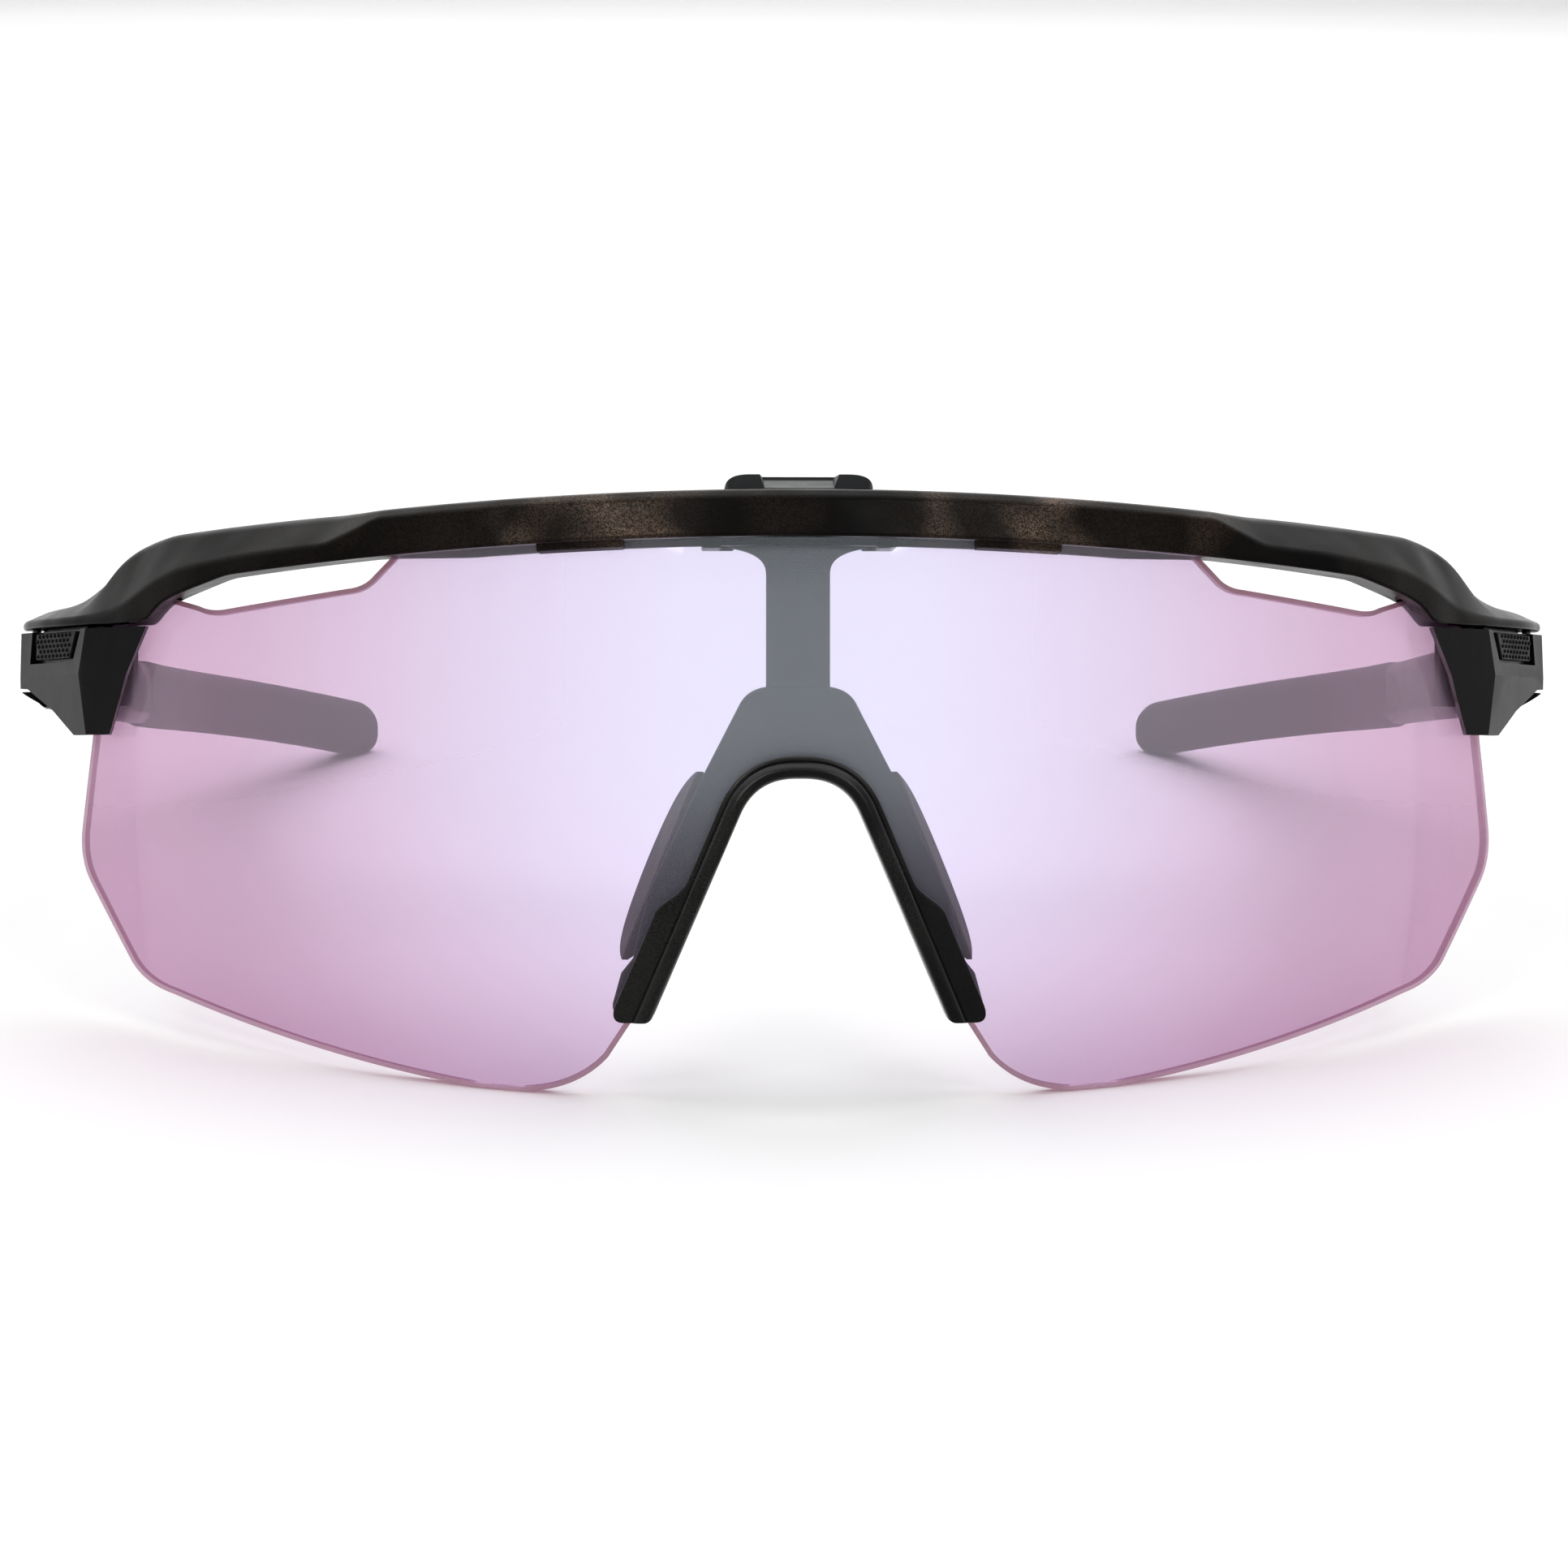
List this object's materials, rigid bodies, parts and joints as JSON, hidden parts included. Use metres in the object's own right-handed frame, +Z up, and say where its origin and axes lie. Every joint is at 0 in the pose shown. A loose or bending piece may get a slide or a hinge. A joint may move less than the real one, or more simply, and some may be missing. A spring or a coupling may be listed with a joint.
{
  "type": "wraparound sport sunglasses",
  "caption": "Wraparound sport sunglasses: one curved shield lens in a brow frame, folding temples, side lens locks and a height-adjustable nose carrier.",
  "frame": {"origin": "middle of the footprint, on the surface the glasses stand on", "axes": "+Z up, +Y back from the lens along the temples, +X towards the wearer's left"},
  "size_m": [0.148, 0.1702, 0.0539],
  "materials": {
    "frame": "satin black with a fine metallic flake",
    "bridge": "satin black",
    "lens": "clear polycarbonate with a pale pink to violet mirror coating",
    "grey": "matt dark grey",
    "pad": "soft matt rubber",
    "lock": "matt black",
    "rubber": "soft matt rubber",
    "steel": "satin"
  },
  "bodies": {
    "frame": {"brow_frame": "frame", "shield_lens": "lens", "nose_frame": "bridge", "hinge_screw_left": "steel", "hinge_screw_right": "steel", "lock_pin_left": "steel", "lock_pin_right": "steel"},
    "nose": {"centre_strut": "grey", "nose_carrier": "grey", "nose_pad_left": "pad", "nose_pad_right": "pad"},
    "temple_left": {"temple_arm_left": "frame", "temple_sleeve_left": "rubber", "temple_core_left": "steel"},
    "temple_right": {"temple_arm_right": "frame", "temple_sleeve_right": "rubber", "temple_core_right": "steel"},
    "lock_left": {"lock_jaw_left": "lock"},
    "lock_right": {"lock_jaw_right": "lock"},
    "slider_left": {"release_slider_left": "lock"},
    "slider_right": {"release_slider_right": "lock"}
  },
  "joints": [
    {"name": "temple_fold_left", "type": "hinge", "parent": "frame", "child": "temple_left", "pos_m": [0.0692, -0.02849, 0.0289], "axis": [0, 0.1914, 0.9815], "range_deg": [0, 92]},
    {"name": "lens_lock_left", "type": "hinge", "parent": "frame", "child": "lock_left", "pos_m": [0.0726, -0.03247, 0.03039], "axis": [0, 0.1914, 0.9815], "range_deg": [0, 38]},
    {"name": "lock_release_left", "type": "slide", "parent": "lock_left", "child": "slider_left", "axis": [0.4496, 0.8767, -0.171], "range_m": [0, 0.001], "stiffness_N_per_m": 250, "springref_m": -0.0004},
    {"name": "temple_fold_right", "type": "hinge", "parent": "frame", "child": "temple_right", "pos_m": [-0.0692, -0.02849, 0.0289], "axis": [0, 0.1914, 0.9815], "range_deg": [-92, 0]},
    {"name": "lens_lock_right", "type": "hinge", "parent": "frame", "child": "lock_right", "pos_m": [-0.0726, -0.03247, 0.03039], "axis": [0, 0.1914, 0.9815], "range_deg": [-38, 0]},
    {"name": "lock_release_right", "type": "slide", "parent": "lock_right", "child": "slider_right", "axis": [-0.4496, 0.8767, -0.171], "range_m": [0, 0.001], "stiffness_N_per_m": 250, "springref_m": -0.0004},
    {"name": "nose_height", "type": "slide", "parent": "frame", "child": "nose", "axis": [0, 0.1914, 0.9815], "range_m": [0, 0.003]}
  ]
}
